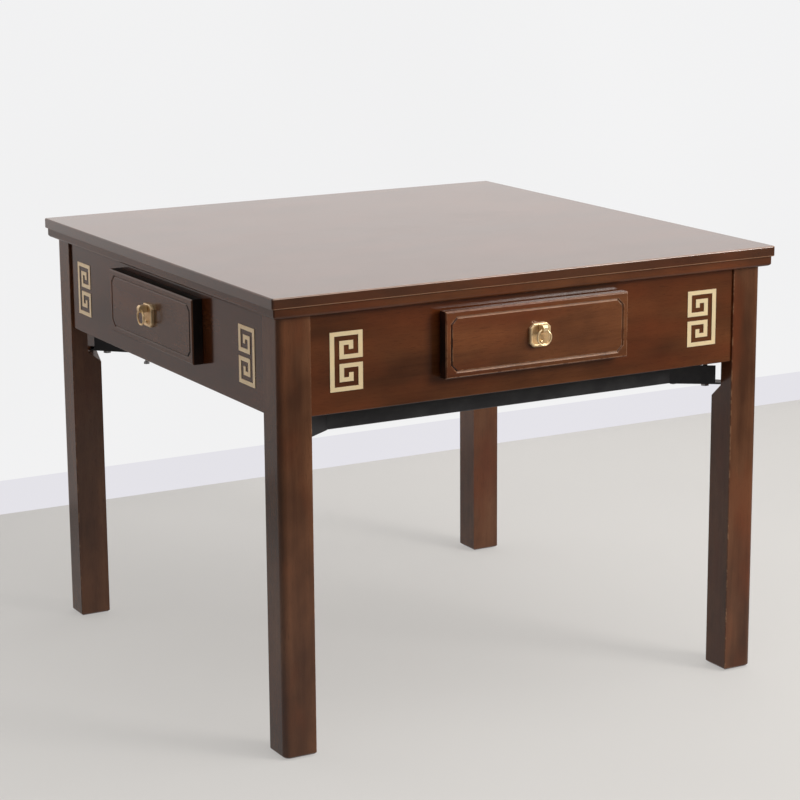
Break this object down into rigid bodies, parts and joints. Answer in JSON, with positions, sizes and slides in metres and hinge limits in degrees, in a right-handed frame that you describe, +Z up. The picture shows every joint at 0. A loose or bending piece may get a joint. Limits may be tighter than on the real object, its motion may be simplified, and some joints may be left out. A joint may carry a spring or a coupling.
{
  "type": "mahjong table with drawers",
  "caption": "Square walnut-stained game table with a drawer in each side, brass ring pulls, brass meander trim and a lift-off dining cover over a felt playing surface.",
  "frame": {"origin": "middle of the table's footprint on the floor", "axes": "+Z up. The front drawer faces -Y and the right drawer faces +X"},
  "size_m": [1, 1.005, 0.76],
  "materials": {
    "walnut_cover": "walnut veneer under satin lacquer",
    "walnut_wood": "solid wood stained walnut, satin lacquer",
    "plain_wood": "unstained hardwood",
    "drawer_wood": "clear-lacquered pale wood",
    "plywood": "sanded plywood",
    "green_felt": "short wool felt",
    "brass_trim": "brushed brass sheet",
    "cast_brass": "polished cast brass",
    "black_steel": "black powder coat",
    "zinc_steel": "zinc-plated steel",
    "black_plastic": "moulded nylon"
  },
  "bodies": {
    "table": {"board_bearers": "plain_wood", "leg_glides": "black_plastic", "corner_blocks": "plain_wood", "leg_bolts": "zinc_steel", "drawer_runners": "plain_wood", "bottom_board": "plywood", "back_rail": "black_steel", "front_rail": "black_steel", "right_rail": "black_steel", "left_rail": "black_steel", "frame_screws": "zinc_steel", "playing_board": "plywood", "playing_felt": "green_felt", "leg_front_right": "walnut_wood", "corner_arm_front_right": "black_steel", "leg_back_right": "walnut_wood", "corner_arm_back_right": "black_steel", "leg_back_left": "walnut_wood", "corner_arm_back_left": "black_steel", "leg_front_left": "walnut_wood", "corner_arm_front_left": "black_steel", "front_rim": "walnut_wood", "front_apron": "walnut_wood", "front_meanders": "brass_trim", "right_rim": "walnut_wood", "right_apron": "walnut_wood", "right_meanders": "brass_trim", "back_rim": "walnut_wood", "back_apron": "walnut_wood", "back_meanders": "brass_trim", "left_rim": "walnut_wood", "left_apron": "walnut_wood", "left_meanders": "brass_trim"},
    "cover": {"cover_board": "walnut_cover", "cover_cleats": "plain_wood"},
    "front_drawer": {"front_drawer_face": "walnut_wood", "front_drawer_box": "drawer_wood", "front_drawer_bottom": "plywood", "front_pull_plate": "cast_brass", "front_pull_post": "cast_brass"},
    "front_ring": {"front_pull_ring": "cast_brass"},
    "right_drawer": {"right_drawer_face": "walnut_wood", "right_drawer_box": "drawer_wood", "right_drawer_bottom": "plywood", "right_pull_plate": "cast_brass", "right_pull_post": "cast_brass"},
    "right_ring": {"right_pull_ring": "cast_brass"},
    "back_drawer": {"back_drawer_face": "walnut_wood", "back_drawer_box": "drawer_wood", "back_drawer_bottom": "plywood", "back_pull_plate": "cast_brass", "back_pull_post": "cast_brass"},
    "back_ring": {"back_pull_ring": "cast_brass"},
    "left_drawer": {"left_drawer_face": "walnut_wood", "left_drawer_box": "drawer_wood", "left_drawer_bottom": "plywood", "left_pull_plate": "cast_brass", "left_pull_post": "cast_brass"},
    "left_ring": {"left_pull_ring": "cast_brass"}
  },
  "joints": [
    {"name": "cover_lift", "type": "slide", "parent": "table", "child": "cover", "axis": [0, 0, 1], "range_m": [0, 0.25]},
    {"name": "front_drawer_slide", "type": "slide", "parent": "table", "child": "front_drawer", "axis": [0, -1, 0], "range_m": [-0.005, 0.195]},
    {"name": "front_ring_swing", "type": "hinge", "parent": "front_drawer", "child": "front_ring", "pos_m": [0, -0.5, 0.66535], "axis": [-1, 0, 0], "range_deg": [-16, 150]},
    {"name": "right_drawer_slide", "type": "slide", "parent": "table", "child": "right_drawer", "axis": [1, 0, 0], "range_m": [0, 0.2]},
    {"name": "right_ring_swing", "type": "hinge", "parent": "right_drawer", "child": "right_ring", "pos_m": [0.495, 0, 0.66535], "axis": [0, -1, 0], "range_deg": [-16, 150]},
    {"name": "back_drawer_slide", "type": "slide", "parent": "table", "child": "back_drawer", "axis": [0, 1, 0], "range_m": [0, 0.2]},
    {"name": "back_ring_swing", "type": "hinge", "parent": "back_drawer", "child": "back_ring", "pos_m": [0, 0.495, 0.66535], "axis": [1, 0, 0], "range_deg": [-16, 150]},
    {"name": "left_drawer_slide", "type": "slide", "parent": "table", "child": "left_drawer", "axis": [-1, 0, 0], "range_m": [0, 0.2]},
    {"name": "left_ring_swing", "type": "hinge", "parent": "left_drawer", "child": "left_ring", "pos_m": [-0.495, 0, 0.66535], "axis": [0, 1, 0], "range_deg": [-16, 150]}
  ]
}
